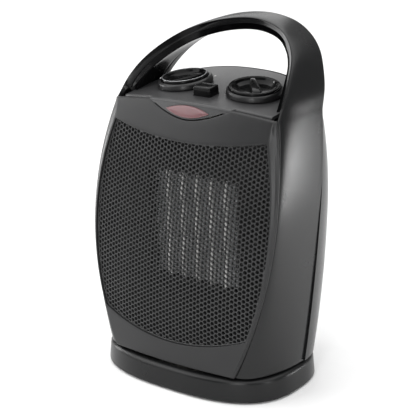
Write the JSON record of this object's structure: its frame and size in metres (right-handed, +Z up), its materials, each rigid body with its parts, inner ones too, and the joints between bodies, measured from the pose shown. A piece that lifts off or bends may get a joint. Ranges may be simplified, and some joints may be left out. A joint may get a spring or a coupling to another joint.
{
  "type": "ceramic space heater",
  "caption": "Oscillating ceramic fan heater with a perforated curved front, carrying handle, rotary controls and a swivel base.",
  "frame": {"origin": "centre of the heater's footprint box, on the surface that it stands on", "axes": "+Z up, -Y out of the front grille, +X to the right as seen from the front"},
  "size_m": [0.1652, 0.1326, 0.2574],
  "materials": {
    "shell_plastic": "satin moulded charcoal",
    "gloss_black": "polished black",
    "dark_plastic": "matte dark grey",
    "rubber": "matte",
    "white_plastic": "matte natural white",
    "red_lens": "translucent red, polished",
    "steel": "zinc plated",
    "aluminium": "bright rolled strip",
    "copper": "enamelled copper winding",
    "mica": "mica and ceramic board"
  },
  "bodies": {
    "base": {"base_shell": "shell_plastic", "base_plate": "dark_plastic", "foot_1": "rubber", "foot_2": "rubber", "foot_3": "rubber", "foot_4": "rubber", "pivot_post": "dark_plastic", "glide_ring": "white_plastic", "cord_gland": "rubber", "retaining_washer": "steel", "pivot_screw": "steel"},
    "housing": {"body_floor": "dark_plastic", "swing_motor": "steel", "front_bezel": "shell_plastic", "front_grille": "dark_plastic", "handle_frame": "shell_plastic", "handle_inner_cover": "gloss_black", "rear_housing": "shell_plastic", "intake_grille": "shell_plastic", "rear_screw_1": "steel", "rear_screw_2": "steel", "rear_screw_3": "steel", "rear_screw_4": "steel", "control_panel": "shell_plastic", "pilot_lens": "red_lens", "pilot_lamp": "red_lens", "lamp_holder": "white_plastic", "thermostat_body": "white_plastic", "selector_switch_body": "white_plastic", "swing_switch_body": "white_plastic", "element_frame": "dark_plastic", "fin_stack_1": "aluminium", "fin_stack_2": "aluminium", "fin_stack_3": "aluminium", "fin_stack_4": "aluminium", "fin_stack_5": "aluminium", "fin_stack_6": "aluminium", "ptc_bar_1": "mica", "ptc_bar_2": "mica", "ptc_bar_3": "mica", "ptc_bar_4": "mica", "ptc_bar_5": "mica", "air_duct": "mica", "thermal_cutout": "steel", "thermal_fuse": "white_plastic", "fan_shroud": "dark_plastic", "motor_bracket_front": "steel", "motor_bracket_rear": "steel", "motor_core": "steel", "motor_coil": "copper", "terminal_block": "white_plastic"},
    "crank": {"crank": "white_plastic"},
    "thermostat_control": {"thermostat_knob": "gloss_black", "thermostat_spindle": "steel"},
    "selector_control": {"selector_knob": "gloss_black", "selector_spindle": "steel"},
    "swing_button": {"swing_button": "gloss_black"},
    "fan": {"fan_impeller": "dark_plastic", "rotor_shaft": "steel", "motor_rotor": "steel"}
  },
  "joints": [
    {"name": "swing", "type": "hinge", "parent": "base", "child": "housing", "pos_m": [0, -0.01089, 0.02], "axis": [0, 0, 1], "range_deg": [-30, 30]},
    {"name": "crank_turn", "type": "hinge", "parent": "housing", "child": "crank", "pos_m": [0, 0.01461, 0.02], "axis": [0, 0, 1], "range_deg": [-91, 91]},
    {"name": "thermostat_turn", "type": "hinge", "parent": "housing", "child": "thermostat_control", "pos_m": [-0.0305, 0.00461, 0.2109], "axis": [-0.0671, -0.1179, 0.9907], "range_deg": [-270, 0]},
    {"name": "selector_turn", "type": "hinge", "parent": "housing", "child": "selector_control", "pos_m": [0.0305, 0.00461, 0.2109], "axis": [0.0671, -0.1179, 0.9907], "range_deg": [-135, 0]},
    {"name": "swing_button_press", "type": "slide", "parent": "housing", "child": "swing_button", "axis": [0, 0.1004, -0.9949], "range_m": [0, 0.0025], "stiffness_N_per_m": 400},
    {"name": "fan_spin", "type": "hinge", "parent": "housing", "child": "fan", "pos_m": [0, 0.01911, 0.113], "axis": [0, 1, 0], "continuous": true}
  ],
  "couplings": [
    {"joint": "crank_turn", "follows": "swing", "ratio": -3.02}
  ]
}
